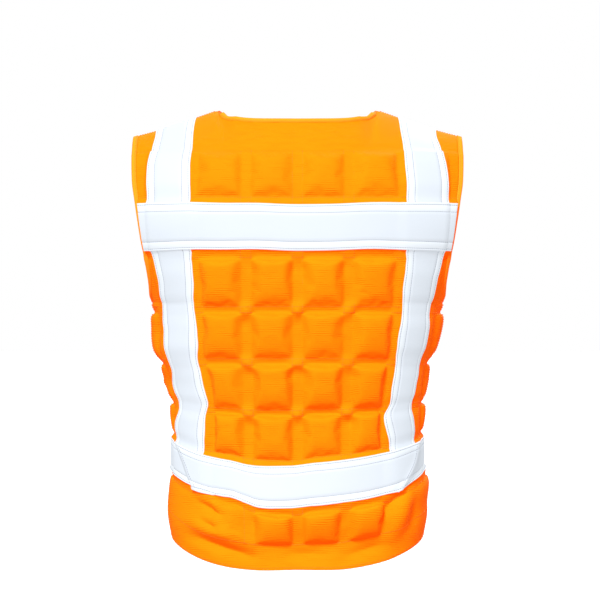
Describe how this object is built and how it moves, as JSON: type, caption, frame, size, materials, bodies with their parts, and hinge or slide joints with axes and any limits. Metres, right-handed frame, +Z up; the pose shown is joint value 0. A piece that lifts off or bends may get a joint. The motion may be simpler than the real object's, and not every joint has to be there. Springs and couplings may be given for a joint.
{
  "type": "cooling vest",
  "caption": "Sleeveless quilted cooling vest with reflective tapes over the shoulders, across the back and round the waist, kept in the shape it has when worn, with a front zip.",
  "frame": {"origin": "middle of the neck hole, on the line between the neck ends of the two shoulder seams", "axes": "+Z up, +Y the way the wearer faces, +X the wearer's right, so the back faces -Y"},
  "size_m": [0.4326, 0.2553, 0.6152],
  "materials": {
    "shell_fabric": "matt fluorescent orange polyester, finely ribbed, quilted over soft wadding",
    "binding_fabric": "matt orange polyester binding",
    "reflective_tape": "silver-white retroreflective tape with a slight sheen, stitched along both edges",
    "zip_plastic": "orange moulded zip on woven tape"
  },
  "bodies": {
    "root": {"back_panel": "shell_fabric", "front_panel_left": "shell_fabric", "front_panel_right": "shell_fabric", "neck_binding": "binding_fabric", "armhole_binding_left": "binding_fabric", "armhole_binding_right": "binding_fabric", "shoulder_tape_left": "reflective_tape", "shoulder_tape_right": "reflective_tape", "chest_tape": "reflective_tape", "waist_tape_back": "reflective_tape", "waist_tape_front_left": "reflective_tape", "waist_tape_front_right": "reflective_tape", "front_zip": "zip_plastic"}
  },
  "joints": []
}
